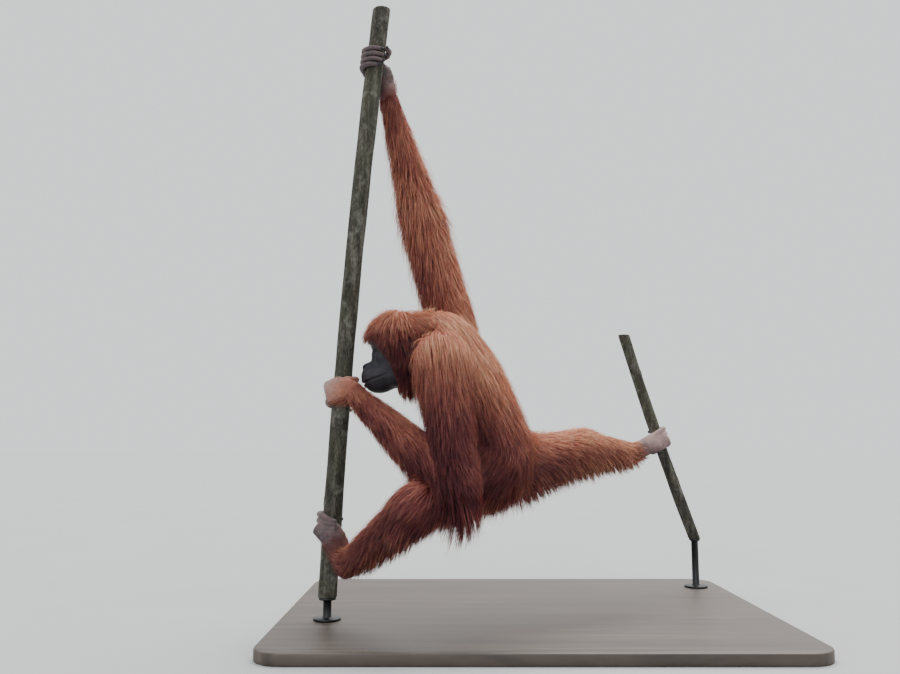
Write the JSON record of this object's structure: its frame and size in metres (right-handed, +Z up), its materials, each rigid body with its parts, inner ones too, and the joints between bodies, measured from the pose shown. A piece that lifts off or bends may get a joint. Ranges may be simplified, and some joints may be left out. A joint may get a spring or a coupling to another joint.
{
  "type": "orangutan display model",
  "caption": "Still model of a young long-haired red ape that hangs spread between two cut stems on a flat display stand.",
  "frame": {"origin": "centre of the underside of the display base", "axes": "+Z up; the animal's head looks along -X; its left side and the visible flank face -Y"},
  "size_m": [1.09, 0.85, 1.43],
  "materials": {
    "coat": "long, loose, silky red-brown hair, maroon in shade and orange at the thin fringes",
    "skin": "bare, wrinkled grey-brown skin, matt with a slight sheen",
    "eye": "wet dark brown eye",
    "bark": "smooth grey-olive bark with pale lichen and fine cracks",
    "stand_metal": "satin black steel",
    "stand_board": "dark stained board with a bevelled edge, satin"
  },
  "bodies": {
    "root": {"torso": "coat", "neck": "coat", "head": "coat", "upper_arm_left": "coat", "upper_arm_right": "coat", "forearm_left": "coat", "forearm_right": "coat", "thigh_left": "coat", "thigh_right": "coat", "shin_left": "coat", "shin_right": "coat", "ear_left": "skin", "ear_right": "skin", "hand_left": "skin", "hand_right": "skin", "foot_left": "skin", "foot_right": "skin", "thumb_left": "skin", "thumb_right": "skin", "great_toe_left": "skin", "great_toe_right": "skin", "finger_left_1": "skin", "finger_left_2": "skin", "finger_left_3": "skin", "finger_left_4": "skin", "finger_right_1": "skin", "finger_right_2": "skin", "finger_right_3": "skin", "finger_right_4": "skin", "toe_left_1": "skin", "toe_left_2": "skin", "toe_left_3": "skin", "toe_left_4": "skin", "toe_right_1": "skin", "toe_right_2": "skin", "toe_right_3": "skin", "toe_right_4": "skin", "eye_left": "eye", "eye_right": "eye", "perch_sapling": "bark", "perch_vine": "bark", "stand_rod_sapling": "stand_metal", "stand_rod_vine": "stand_metal", "stand_base": "stand_board"}
  },
  "joints": []
}
